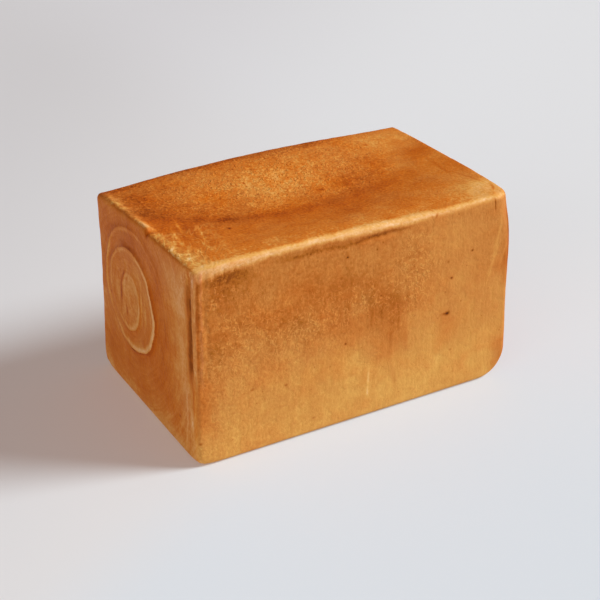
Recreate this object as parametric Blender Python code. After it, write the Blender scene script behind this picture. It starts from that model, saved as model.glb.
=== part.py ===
"""A square tin loaf: one solid with a sunken top, tapered sides and a rolled-dough swirl on each end."""

import bmesh
import bpy
import numpy as np

# Lengths are in millimetres here and become metres in the mesh.
MM = 0.001

# Overall size of the loaf, standing on its wider base.
LENGTH = 200.0
WIDTH = 124.5
HEIGHT = 115.2

# How far each side leans in from the base to the top, at half height zero.
SIDE_TAPER = 1.6
END_TAPER = 1.1
BACK_LOWER = 1.3

# Rounding of the edges, and the two places where the dough did not fill the tin.
EDGE_RADIUS = 3.0
SHOULDER_RADIUS = 10.5
SHOULDER_FROM = 62.0
HEEL_RADIUS = 18.5

# The smaller heel under the left end, and the corners there and above it worn softer.
LEFT_HEEL_RADIUS = 4.7
FOOT_CORNER = 0.8
FOOT_CORNER_REACH = 7.0
SOFT_CORNER = 1.5
SOFT_CORNER_REACH = 8.0

# The top: a shallow hollow whose lowest line swings back at both ends.
HOLLOW_DEPTH = 5.0
HOLLOW_LINE = -15.0
HOLLOW_SWING = 34.0
RIM_WIDTH = 4.0
BACK_ARCH = 3.35
BACK_ARCH_AT = 4.5
BACK_ARCH_REACH = 76.0
FRONT_EDGE_WAVE = 0.9

# Sides that swelled a little between the corners.
SIDE_SWELL = 1.2
END_SWELL = 3.4
END_SWELL_HEIGHT = 93.0
END_SWELL_REACH = 20.0
RIGHT_RISE = 1.1
BACK_CORNER_DROP = 1.4
BACK_CORNER_FLARE = 1.3
RIGHT_CORNER_DROP = 0.9

# The swirl on an end: radius of the dough's edge at every quarter turn.
SWIRL_START = 0.5
SWIRL_RADII = (1.0, 16.5, 13.0, 17.5, 25.0, 31.5, 33.8, 30.5, 32.5, 44.0, 52.0, 50.0, 46.0)
SWIRL_CENTRE = (20.0, 63.0)
SWIRL_RELIEF = 1.3
SWIRL_DROP = 3.4
SWIRL_SOFTENS = 44.0

# A lip along the left end's upper edge, which stops at a notch.
LIP_HEIGHT = 1.3
LIP_WIDTH = 3.2
NOTCH_AT = -5.5
NOTCH_WIDTH = 2.6
NOTCH_DEPTH = 1.3

# The pinched fold down the left end beside its front corner, and the crease under the front edge.
FOLD_DEPTH = 1.3
FOLD_FROM_CORNER = 4.4
FOLD_WIDTH = 1.8
FOLD_FOOT = 46.0
FOLD_FADES = 16.0
CREASE_DEPTH = 0.8
CREASE_CENTRE = 12.0
CREASE_LENGTH = 13.0
CREASE_BELOW_TOP = 6.5

# Cells of the surface along each direction, and how strongly they crowd toward its ends.
CELLS_X = 20
CELLS_Y = 36
CELLS_Z = 32
CROWDING_X = 0.93
CROWDING = 0.65

CRUST_COLOUR = (0.52, 0.185, 0.036, 1.0)
CRUST_ROUGHNESS = 0.62


def ramp(start, end, value):
    """Smooth step from 0 at start to 1 at end."""
    t = np.clip((value - start) / (end - start), 0.0, 1.0)
    return t * t * (3.0 - 2.0 * t)


def bell(value, width):
    """A smooth bump, 1 at zero and about a third at the width."""
    return np.exp(-((value / width) ** 2))


def stations(size, cells, crowding):
    """Positions of the cell lines across a size, closer together near both ends."""
    even = np.linspace(-1.0, 1.0, cells + 1)
    crowded = np.sin(np.pi / 2.0 * even)
    return size / 2.0 * (even + (crowded - even) * crowding)


def circled(first, second, radius):
    """Draws a square corner in to a quarter circle, given the distances in from its two faces."""
    a = np.maximum(radius - first, 0.0)
    b = np.maximum(radius - second, 0.0)
    shrink = 1.0 - np.maximum(a, b) / np.maximum(np.hypot(a, b), 1e-9)
    shrink = np.where((a > 0.0) & (b > 0.0), shrink, 0.0)
    return a * shrink, b * shrink


def trimmed(first, second, radius):
    """Pulls in what lies beyond a corner's quarter circle, given distances in from its two faces."""
    a = np.maximum(radius - first, 0.0)
    b = np.maximum(radius - second, 0.0)
    reach = np.hypot(a, b)
    shrink = 1.0 - np.minimum(1.0, radius / np.maximum(reach, 1e-9))
    return a * shrink, b * shrink


def rounded(points):
    """The plain box with rounded edges, a wide heel under the right end and a wide front shoulder."""
    half, side = LENGTH / 2.0, WIDTH / 2.0
    x, y, z = points.T
    shoulder = EDGE_RADIUS + (SHOULDER_RADIUS - EDGE_RADIUS) * ramp(SHOULDER_FROM, HEIGHT, z)
    pull_x, pull_z = circled(half - x, z, HEEL_RADIUS)
    x, z = x - pull_x, z + pull_z
    pull_x, pull_z = circled(half + x, z, LEFT_HEEL_RADIUS)
    x, z = x + pull_x, z + pull_z
    pull_x, pull_y = circled(half - x, side + y, shoulder)
    x, y = x - pull_x, y + pull_y

    core_x = np.clip(x, EDGE_RADIUS - half, half - EDGE_RADIUS)
    core_y = np.clip(y, EDGE_RADIUS - side, side - EDGE_RADIUS)
    core_z = np.clip(z, EDGE_RADIUS, HEIGHT - EDGE_RADIUS)
    pull_x, pull_z = trimmed(half - EDGE_RADIUS - core_x, core_z - EDGE_RADIUS, HEEL_RADIUS - EDGE_RADIUS)
    core_x, core_z = core_x - pull_x, core_z + pull_z
    inner = LEFT_HEEL_RADIUS - EDGE_RADIUS
    pull_x, pull_z = trimmed(half - EDGE_RADIUS + core_x, core_z - EDGE_RADIUS, inner)
    core_x, core_z = core_x + pull_x, core_z + pull_z
    inner = shoulder - EDGE_RADIUS
    pull_x, pull_y = trimmed(half - EDGE_RADIUS - core_x, side - EDGE_RADIUS + core_y, inner)
    core_x, core_y = core_x - pull_x, core_y + pull_y

    core = np.stack([core_x, core_y, core_z], axis=1)
    away = np.stack([x, y, z], axis=1) - core
    reach = np.linalg.norm(away, axis=1)[:, None]
    return core + away / np.maximum(reach, 1e-9) * EDGE_RADIUS


def swirl_edge(turns):
    """Radius of the dough's edge after a number of turns from the swirl's middle."""
    known = SWIRL_START + 0.25 * np.arange(len(SWIRL_RADII))
    return np.interp(turns, known, SWIRL_RADII)


def swirl_relief(across, up):
    """Height of the swirl on an end: each turn rises outward and drops at its edge."""
    along = across - SWIRL_CENTRE[0]
    above = up - SWIRL_CENTRE[1]
    reach = np.hypot(along, above)
    part_turn = (np.arctan2(-above, -along) / (2.0 * np.pi)) % 1.0
    inner = np.zeros_like(reach)
    outer = np.full_like(reach, 90.0)
    for turn in range(5):
        turns = part_turn + turn
        edge = swirl_edge(turns)
        real = (turns >= SWIRL_START) & (turns <= SWIRL_START + 0.25 * (len(SWIRL_RADII) - 1))
        inner = np.where(real & (edge <= reach), np.maximum(inner, edge), inner)
        outer = np.where(real & (edge > reach), np.minimum(outer, edge), outer)
    share = (reach - inner) / np.maximum(outer - inner, 1.0)
    rise = share ** 2.5
    fall = np.where(inner > 0.0, 1.0 - (reach - inner) / SWIRL_DROP, 0.0)
    softer = 0.3 + 0.7 * bell(np.maximum(reach - 30.0, 0.0), SWIRL_SOFTENS - 30.0)
    return SWIRL_RELIEF * np.maximum(rise, np.clip(fall, 0.0, 1.0)) * softer


def hollow(x, y, z):
    """Depth of the sunken top."""
    lowest = HOLLOW_LINE + HOLLOW_SWING * (2.0 * x / LENGTH) ** 2
    behind = WIDTH / 2.0 - RIM_WIDTH - lowest
    before = lowest + WIDTH / 2.0 - RIM_WIDTH
    share = np.abs(y - lowest) / np.where(y > lowest, behind, before)
    across = np.cos(np.pi / 2.0 * np.clip(share, 0.0, 1.0)) ** 2
    along = 1.0 - np.abs(2.0 * x / LENGTH) ** 3
    return HOLLOW_DEPTH * across * along * ramp(0.9, 1.0, z / HEIGHT)


def loaf_form(points):
    """Moves points of the plain box onto the loaf's surface."""
    x, y, z = rounded(points).T
    along, across, up = 2.0 * x / LENGTH, 2.0 * y / WIDTH, z / HEIGHT
    middle = 4.0 * up * (1.0 - up)
    left = x + LENGTH / 2.0

    out_y = y + SIDE_TAPER * (1.0 - 2.0 * up) * across
    out_y += SIDE_SWELL * (1.0 - along ** 2) * middle * np.sign(across) * ramp(0.5, 1.0, np.abs(across))
    out_x = x + END_TAPER * (1.0 - 2.0 * up) * along
    swell = bell(z - END_SWELL_HEIGHT, END_SWELL_REACH)
    swell *= 1.0 - 0.2 * across ** 2 - 0.2 * ramp(-0.2, 1.0, across)
    out_x += END_SWELL * ramp(0.7, 1.0, along) * swell

    out_z = z - BACK_LOWER * up * across - hollow(x, y, z)
    arch = bell(x - BACK_ARCH_AT, BACK_ARCH_REACH)
    out_z += BACK_ARCH * arch * ramp(-0.1, 1.0, across) * ramp(0.5, 1.0, up)
    out_z -= FRONT_EDGE_WAVE * np.sin(np.pi * along) * ramp(-0.4, -1.0, across) * ramp(0.6, 1.0, up)

    out_z += RIGHT_RISE * ramp(0.4, 1.0, along) * (1.0 - across ** 2) * ramp(0.6, 1.0, up)
    back_corner = ramp(-0.5, -1.0, along) * ramp(0.0, 1.0, across) * ramp(0.6, 1.0, up)
    out_z -= BACK_CORNER_DROP * back_corner
    out_x -= BACK_CORNER_FLARE * back_corner
    out_z -= RIGHT_CORNER_DROP * ramp(0.84, 1.0, along) * ramp(-0.3, -1.0, across) * ramp(0.8, 1.0, up)

    from_front = y + WIDTH / 2.0
    reach = np.sqrt(left ** 2 + from_front ** 2 + (HEIGHT - z) ** 2)
    softer = SOFT_CORNER * bell(reach, SOFT_CORNER_REACH)
    out_x, out_y, out_z = out_x + softer, out_y + softer, out_z - softer
    reach = np.sqrt(left ** 2 + (WIDTH / 2.0 - np.abs(y)) ** 2 + z ** 2)
    foot = FOOT_CORNER * bell(reach, FOOT_CORNER_REACH)
    out_x, out_y, out_z = out_x + foot, out_y - foot * across, out_z + foot

    top = ramp(0.93, 1.0, up)
    lip = ramp(NOTCH_AT, NOTCH_AT + 3.0, y) * ramp(WIDTH / 2.0, WIDTH / 2.0 - 14.0, y)
    out_z += LIP_HEIGHT * lip * bell(left - 2.0, LIP_WIDTH) * top
    out_z -= NOTCH_DEPTH * bell(y - NOTCH_AT, NOTCH_WIDTH) * bell(left, 5.0) * top

    crease = bell(x - CREASE_CENTRE, CREASE_LENGTH) * bell(z - HEIGHT + CREASE_BELOW_TOP, 2.4)
    out_y += CREASE_DEPTH * crease * ramp(-0.9, -1.0, across)

    inside = ramp(1.0, 0.9, np.abs(across)) * ramp(1.0, 0.92, up) * ramp(0.0, 0.08, up)
    at_left = ramp(-0.97, -1.0, along)
    at_right = ramp(0.97, 1.0, along)
    out_x -= swirl_relief(y, z) * at_left * inside
    out_x += 0.8 * swirl_relief(-y - 6.0, HEIGHT + 8.0 - z) * at_right * inside
    fold = bell(y + WIDTH / 2.0 - FOLD_FROM_CORNER, FOLD_WIDTH) * ramp(FOLD_FOOT, FOLD_FOOT + FOLD_FADES, z)
    out_x += FOLD_DEPTH * fold * at_left * ramp(HEIGHT, HEIGHT - 9.0, z)
    return np.stack([out_x, out_y, out_z], axis=1)


def surface_cells():
    """Points on the plain box, and the four-sided cells that close it."""
    lines = (
        stations(LENGTH, CELLS_X, CROWDING_X),
        stations(WIDTH, CELLS_Y, CROWDING),
        stations(HEIGHT, CELLS_Z, CROWDING) + HEIGHT / 2.0,
    )
    counts = (CELLS_X, CELLS_Y, CELLS_Z)
    places, points, cells = {}, [], []

    def place(key):
        if key not in places:
            places[key] = len(points)
            points.append([lines[axis][key[axis]] for axis in range(3)])
        return places[key]

    for axis in range(3):
        first, second = (axis + 1) % 3, (axis + 2) % 3
        for level in (0, counts[axis]):
            for i in range(counts[first]):
                for j in range(counts[second]):
                    corners = ((i, j), (i + 1, j), (i + 1, j + 1), (i, j + 1))
                    if level == 0:
                        corners = corners[::-1]
                    cell = []
                    for a, b in corners:
                        key = [0, 0, 0]
                        key[axis], key[first], key[second] = level, a, b
                        cell.append(place(tuple(key)))
                    cells.append(cell)
    return np.array(points), cells


def crust_material():
    material = bpy.data.materials.new("crust")
    material.use_nodes = True
    shader = material.node_tree.nodes["Principled BSDF"]
    shader.inputs["Base Color"].default_value = CRUST_COLOUR
    shader.inputs["Roughness"].default_value = CRUST_ROUGHNESS
    material.diffuse_color = CRUST_COLOUR
    return material


def build_loaf():
    points, cells = surface_cells()
    formed = loaf_form(points)
    formed[:, :2] -= (formed[:, :2].max(axis=0) + formed[:, :2].min(axis=0)) / 2.0
    formed[:, 2] -= formed[:, 2].min()
    mesh = bpy.data.meshes.new("loaf")
    mesh.from_pydata((formed * MM).tolist(), [], cells)
    work = bmesh.new()
    work.from_mesh(mesh)
    bmesh.ops.triangulate(work, faces=work.faces, quad_method="SHORT_EDGE")
    bmesh.ops.recalc_face_normals(work, faces=work.faces)
    work.to_mesh(mesh)
    work.free()
    for face in mesh.polygons:
        face.use_smooth = True
    mesh.materials.append(crust_material())
    loaf = bpy.data.objects.new("loaf", mesh)
    bpy.context.scene.collection.objects.link(loaf)


for old in list(bpy.data.objects):
    bpy.data.objects.remove(old)
build_loaf()
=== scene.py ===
import bpy
import math
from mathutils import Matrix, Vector


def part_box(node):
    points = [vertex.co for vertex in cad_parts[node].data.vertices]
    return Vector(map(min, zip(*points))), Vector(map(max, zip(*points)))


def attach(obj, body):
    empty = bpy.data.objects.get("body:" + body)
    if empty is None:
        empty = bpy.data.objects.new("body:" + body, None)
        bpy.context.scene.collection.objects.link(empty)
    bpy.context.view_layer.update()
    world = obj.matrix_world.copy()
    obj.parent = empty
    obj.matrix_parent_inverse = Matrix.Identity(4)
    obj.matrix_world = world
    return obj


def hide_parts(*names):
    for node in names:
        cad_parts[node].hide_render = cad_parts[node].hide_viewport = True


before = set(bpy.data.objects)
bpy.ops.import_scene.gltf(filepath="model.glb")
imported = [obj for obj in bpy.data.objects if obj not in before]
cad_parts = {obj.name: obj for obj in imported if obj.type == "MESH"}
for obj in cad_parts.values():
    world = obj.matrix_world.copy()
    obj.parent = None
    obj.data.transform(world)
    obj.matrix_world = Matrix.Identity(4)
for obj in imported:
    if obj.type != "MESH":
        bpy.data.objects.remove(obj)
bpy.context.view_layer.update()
print("frame loaded")

mm = 0.001
tiny = 0.000001  # keeps a division by a length away from zero


class Wire:
    # one output of a node; arithmetic on it adds Math nodes
    def __init__(self, bench, socket):
        self.bench, self.socket = bench, socket

    def math(self, operation, *others):
        values = dict(enumerate((self,) + others))
        return self.bench.add("ShaderNodeMath", {"operation": operation}, values)

    def swapped(self, operation, other):
        return self.bench.add("ShaderNodeMath", {"operation": operation}, {0: other, 1: self})

    def __add__(self, other):
        return self.math("ADD", other)

    __radd__ = __add__

    def __sub__(self, other):
        return self.math("SUBTRACT", other)

    def __rsub__(self, other):
        return self.swapped("SUBTRACT", other)

    def __mul__(self, other):
        return self.math("MULTIPLY", other)

    __rmul__ = __mul__

    def __truediv__(self, other):
        return self.math("DIVIDE", other)

    def __rtruediv__(self, other):
        return self.swapped("DIVIDE", other)

    def __pow__(self, other):
        return self.math("POWER", other)

    def __rpow__(self, other):
        return self.swapped("POWER", other)

    def __neg__(self):
        return self * -1.0

    def __abs__(self):
        return self.math("ABSOLUTE")

    def __gt__(self, other):
        return self.math("GREATER_THAN", other)

    def __lt__(self, other):
        return self.math("LESS_THAN", other)

    def low(self, other):
        return self.math("MINIMUM", other)

    def high(self, other):
        return self.math("MAXIMUM", other)

    def root(self):
        return self.math("SQRT")

    def sine(self):
        return self.math("SINE")

    def part(self):
        return self.math("FRACT")

    def held(self):
        return self.bench.add("ShaderNodeClamp", {}, {0: self})

    def grown(self, factor, more):
        return self.math("MULTIPLY_ADD", factor, more)

    def toward(self, other, share):
        return self.bench.add("ShaderNodeMix", {"data_type": "FLOAT"}, {0: share, 2: self, 3: other})

    def split(self):
        node = self.bench.add("ShaderNodeSeparateXYZ", {}, {0: self})
        return [Wire(self.bench, out) for out in node.socket.node.outputs]

    def vector(self, operation, *others):
        values = dict(enumerate((self,) + others))
        return self.bench.add("ShaderNodeVectorMath", {"operation": operation}, values)

    def dot(self, other):
        settings = {"operation": "DOT_PRODUCT"}
        return self.bench.add("ShaderNodeVectorMath", settings, {0: self, 1: other}, "Value")


class Bench:
    # a node tree being filled
    def __init__(self, tree):
        self.tree, self.count = tree, 0

    def add(self, kind, settings=None, inputs=None, output=0):
        node = self.tree.nodes.new(kind)
        node.location = (self.count % 24 * 190, -(self.count // 24) * 260)
        self.count += 1
        for name, value in (settings or {}).items():
            if name == "stops":
                self.setStops(node.color_ramp, value)
            elif name == "points":
                self.setPoints(node.mapping, value)
            else:
                setattr(node, name, value)
        for name, value in (inputs or {}).items():
            if isinstance(value, Wire):
                self.tree.links.new(value.socket, node.inputs[name])
            else:
                node.inputs[name].default_value = value
        return Wire(self, node.outputs[output]) if node.outputs else node

    def setStops(self, ramp, stops):
        while len(ramp.elements) < len(stops):
            ramp.elements.new(0.5)
        for element, (place, colour) in zip(ramp.elements, stops):
            element.position = place
            element.color = (*colour, 1.0)

    def setPoints(self, mapping, points):
        curve = mapping.curves[0]
        while len(curve.points) < len(points):
            curve.points.new(0.5, 0.5)
        for point, place in zip(curve.points, points):
            point.location = place
        mapping.update()

    def join(self, x, y, z):
        return self.add("ShaderNodeCombineXYZ", {}, {0: x, 1: y, 2: z})

    def blend(self, share, first, second):
        settings = {"data_type": "RGBA", "blend_type": "MIX"}
        return self.add("ShaderNodeMix", settings, {0: share, 6: first, 7: second}, output=2)

    def noise(self, place, size, detail=2.0, rough=0.5, output=0):
        # size is the width of a patch in the units of place
        inputs = {"Vector": place, "Scale": 1.0 / size, "Detail": detail, "Roughness": rough}
        return self.add("ShaderNodeTexNoise", {}, inputs, output)


def emptyBench(owner):
    # the nodes of a material or world, cleared
    owner.use_nodes = True
    owner.node_tree.nodes.clear()
    return Bench(owner.node_tree)


def placed(name, data):
    thing = bpy.data.objects.new(name, data)
    bpy.context.scene.collection.objects.link(thing)
    return thing


def ramp(start, end, value):
    # a smooth step from 0 at the start to 1 at the end
    inputs = {0: value, 1: start, 2: end}
    return value.bench.add("ShaderNodeMapRange", {"interpolation_type": "SMOOTHSTEP"}, inputs)


def faded(square):
    return math.exp(-1.0) ** square


def bell(value, width):
    share = value / width
    return faded(share * share)


def length2(x, y):
    return (x * x + y * y).root()


def length3(x, y, z):
    return (x * x + y * y + z * z).root()


def spotted(place, spots, total=0.0):
    # soft spots: the middle, the two half widths and how much each adds
    for middleU, middleV, wide, tall, amount in spots:
        scale, moved = (1.0 / wide, 1.0 / tall, 0.0), (-middleU / wide, -middleV / tall, 0.0)
        near = place.vector("MULTIPLY_ADD", scale, moved)
        total = faded(near.dot(near)).grown(amount, total)
    return total


def stroked(place, strokes, total=0.0):
    # soft straight strokes: the middle, half length, half width, lean in degrees, amount
    for middleU, middleV, half, wide, lean, amount in strokes:
        cosine, sine = math.cos(math.radians(lean)), math.sin(math.radians(lean))
        along = place.dot((sine / half, cosine / half, 0.0)) - (middleU * sine + middleV * cosine) / half
        aside = place.dot((cosine / wide, -sine / wide, 0.0)) - (middleU * cosine - middleV * sine) / wide
        total = faded(along * along + aside * aside).grown(amount, total)
    return total


# sizes in millimetres
loafForm = {
    "length": 200.0, "width": 124.5, "height": 115.2,
    "sideTaper": 1.6, "endTaper": 1.1, "backLower": 1.3,
    "edgeRadius": 3.0, "shoulderRadius": 10.5, "shoulderFrom": 62.0, "heelRadius": 18.5,
    "leftHeelRadius": 4.7, "footCorner": 0.8, "footCornerReach": 7.0,
    "hollowDepth": 5.0, "hollowLine": -15.0, "hollowSwing": 34.0, "rimWidth": 4.0,
    "backArch": 3.35, "backArchAt": 4.5, "backArchReach": 76.0, "frontEdgeWave": 0.9, "sideSwell": 1.2,
    "endSwell": 3.4, "endSwellHeight": 93.0, "endSwellReach": 20.0, "rightRise": 1.1,
    "backCornerDrop": 1.4, "backCornerFlare": 1.3, "rightCornerDrop": 0.9,
    "softCorner": 1.5, "softCornerReach": 8.0,
    "swirlRelief": 1.3, "swirlDrop": 1.8, "swirlAcross": 20.0, "swirlUp": 63.0,
    "lipHeight": 1.3, "lipWidth": 3.2, "notchAt": -5.5, "notchWidth": 1.6, "notchDepth": 1.2,
    "foldDepth": 1.2, "foldFromCorner": 4.4, "foldWidth": 1.5, "foldFoot": 48.0,
    "creaseDepth": 0.9, "creaseCentre": 12.0, "creaseLength": 13.0, "creaseBelow": 6.5,
    "unevenness": 0.5, "dimples": 0.3, "crumbs": 0.55, "wrinkles": 0.22, "inset": 0.12,
}
loafCells = {"x": 156, "y": 118, "z": 104, "crowdingX": 0.5, "crowding": 0.15}

# the edge of the rolled dough: its distance from the swirl's middle at every quarter turn, and
# how clearly it shows there
doughEdge = {
    "start": 0.5, "farthest": 90.0, "wobble": 4.0, "wobbleSize": 15.0, "steepness": 2.5,
    "radii": (1.0, 16.5, 14.0, 18.3, 26.5, 32.2, 34.8, 29.2, 32.5, 45.0, 52.0, 50.0, 46.0),
    "shows": (0.0, 0.2, 0.4, 0.55, 0.3, 0.75, 1.0, 0.8, 0.5, 0.42, 0.06, 0.02, 0.0),
    "smoothed": ((46.0, 38.0, 13.0, 20.0, -0.95), (-2.0, 94.0, 12.0, 12.0, -0.4)),  # spots on the end
    "rightAcross": 6.0, "rightUp": 8.0,  # how far the right end's swirl is moved
}


def endPlace(s, y, z, rightward):
    # across and up an end, with the right end's swirl turned half round and moved
    turned = 1.0 - 2.0 * rightward
    across = y * turned - doughEdge["rightAcross"] * rightward
    return across, z * turned + (s["height"] + doughEdge["rightUp"]) * rightward


def doughCurves():
    # the edge's radii and shows as points of curves, over the share of all its turns
    radii, start = doughEdge["radii"], doughEdge["start"]
    last = start + 0.25 * (len(radii) - 1)
    known = [(start + 0.25 * i) / last for i in range(len(radii))]
    outward = [(place, radius / doughEdge["farthest"]) for place, radius in zip(known, radii)]
    return outward, list(zip(known, doughEdge["shows"])), last


def swirlSteps(bench, place, across, up):
    # distance out from the last dough edge, distance left to the next one, distance from the
    # swirl's middle, and how clearly each of the two edges shows
    wobble = bench.noise(place, doughEdge["wobbleSize"], 3.0) - 0.5
    reach = length2(across, up) + doughEdge["wobble"] * wobble
    turned = bench.add("ShaderNodeMath", {"operation": "ARCTAN2"}, {0: -up, 1: -across})
    partTurn = turned.grown(0.5 / math.pi, 1.0).part()
    radii, shows, last = doughCurves()
    inner = innerShows = outerShows = reach * 0.0
    outer = inner + doughEdge["farthest"]
    for turn in range(4):
        turns = partTurn + turn
        share = turns / last
        edge = bench.add("ShaderNodeFloatCurve", {"points": radii}, {1: share}) * doughEdge["farthest"]
        shown = bench.add("ShaderNodeFloatCurve", {"points": shows}, {1: share})
        real = (turns > doughEdge["start"]) * (turns < last)
        inside = real * (edge < reach) * (edge > inner)
        outside = real * (edge > reach) * (edge < outer)
        inner, innerShows = inner.toward(edge, inside), innerShows.toward(shown, inside)
        outer, outerShows = outer.toward(edge, outside), outerShows.toward(shown, outside)
    middle = (loafForm["swirlAcross"], loafForm["swirlUp"], 0.0)
    hidden = spotted(bench.join(across, up, 0.0).vector("ADD", middle), doughEdge["smoothed"], 1.0)
    innerShows, outerShows = innerShows * hidden, outerShows * hidden
    return {"past": reach - inner, "left": outer - reach, "reach": reach,
            "innerShows": innerShows * (inner > 0.5), "outerShows": outerShows}


def swirlRelief(bench, s, place, across, up):
    # the dough climbs towards each edge and drops off beyond it
    step = swirlSteps(bench, place, across, up)
    share = step["past"] / (step["past"] + step["left"])
    rise = share ** doughEdge["steepness"] * step["outerShows"]
    fall = (1.0 - step["past"] / s["swirlDrop"]).held() * step["innerShows"]
    return s["swirlRelief"] * rise.high(fall)


def circled(first, second, radius):
    # a square corner drawn in to a quarter circle
    a, b = (radius - first).high(0.0), (radius - second).high(0.0)
    shrink = 1.0 - a.high(b) / length2(a, b).high(tiny)
    return a * shrink, b * shrink


def trimmed(first, second, radius):
    # what lies beyond the quarter circle pulled in to it
    a, b = (radius - first).high(0.0), (radius - second).high(0.0)
    shrink = 1.0 - (radius / length2(a, b).high(tiny)).low(1.0)
    return a * shrink, b * shrink


def roundedBox(s, x, y, z):
    half, side, r = s["length"] / 2.0, s["width"] / 2.0, s["edgeRadius"]
    shoulder = r + (s["shoulderRadius"] - r) * ramp(s["shoulderFrom"], s["height"], z)
    pullX, pullZ = circled(half - x, z, s["heelRadius"])
    x, z = x - pullX, z + pullZ
    pullX, pullZ = circled(half + x, z, s["leftHeelRadius"])
    x, z = x + pullX, z + pullZ
    pullX, pullY = circled(half - x, side + y, shoulder)
    x, y = x - pullX, y + pullY
    coreX = x.high(r - half).low(half - r)
    coreY = y.high(r - side).low(side - r)
    coreZ = z.high(r).low(s["height"] - r)
    pullX, pullZ = trimmed(half - r - coreX, coreZ - r, s["heelRadius"] - r)
    coreX, coreZ = coreX - pullX, coreZ + pullZ
    pullX, pullZ = trimmed(half - r + coreX, coreZ - r, s["leftHeelRadius"] - r)
    coreX, coreZ = coreX + pullX, coreZ + pullZ
    pullX, pullY = trimmed(half - r - coreX, side - r + coreY, shoulder - r)
    coreX, coreY = coreX - pullX, coreY + pullY
    awayX, awayY, awayZ = x - coreX, y - coreY, z - coreZ
    reach = length3(awayX, awayY, awayZ).high(tiny)
    out = (awayX / reach, awayY / reach, awayZ / reach)
    return coreX + out[0] * r, coreY + out[1] * r, coreZ + out[2] * r, out


def hollow(s, x, y, up):
    along = 2.0 * x / s["length"]
    lowest = s["hollowLine"] + s["hollowSwing"] * along * along
    side = s["width"] / 2.0 - s["rimWidth"]
    behind = y > lowest
    span = (side + lowest) + (side - lowest - side - lowest) * behind
    share = (abs(y - lowest) / span).held()
    across = (1.0 + (share * math.pi).math("COSINE")) * 0.5
    lengthwise = 1.0 - abs(along) ** 3.0
    return s["hollowDepth"] * across * lengthwise * ramp(0.9, 1.0, up)


def upperCorner(z):
    # where the wrinkles beside the upright front left edge show
    return ramp(42.0, 60.0, z) * ramp(116.0, 109.0, z)


def cornerWave(bench, fromLeft, z):
    # upright wrinkles on the front, beside the left end: 1 on a ridge, -1 in a valley
    wander = bench.noise(bench.join(fromLeft * 0.3, 0.0, z), 10.0, 2.0) - 0.5
    wave = ((fromLeft + 0.8 + 7.0 * wander) * (2.0 * math.pi / 5.2) + math.pi / 2.0).sine()
    return wave * ramp(15.0, 6.0, fromLeft) * upperCorner(z)


def topWrinkled(x, y):
    return ramp(-56.0, -90.0, x - 0.3 * y - 16.0) * ramp(6.0, -12.0, y)


def topBent(bench, place, x, y):
    # distance across the bent wrinkles on the top, which run back from the front left corner
    return 0.4 * y - x + 7.0 * (bench.noise(place, 20.0, 1.0) - 0.5)


def topWave(bench, place, x, y):
    bent = topBent(bench, place, x, y)
    folds = bench.noise(bench.join(bent / 2.3, y / 17.0, 0.0), 1.0, 1.0) - 0.5
    return folds * topWrinkled(x, y)


def topStrands(bench, place, x, y):
    # thin bent strands between those wrinkles
    bent = topBent(bench, place, x, y)
    line = bench.noise(bench.join(bent / 3.4, y / 14.0, 4.0), 1.0, 1.5) - 0.5
    broken = bench.noise(place, 5.0, 1.0)
    return ramp(0.10, 0.01, abs(line)) * ramp(0.40, 0.52, broken) * topWrinkled(x, y)


def foldWander(bench, z):
    # the fold and the marks beside it wander together
    return bench.noise(bench.join(0.0, 0.0, z), 16.0, 2.0) - 0.5


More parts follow.
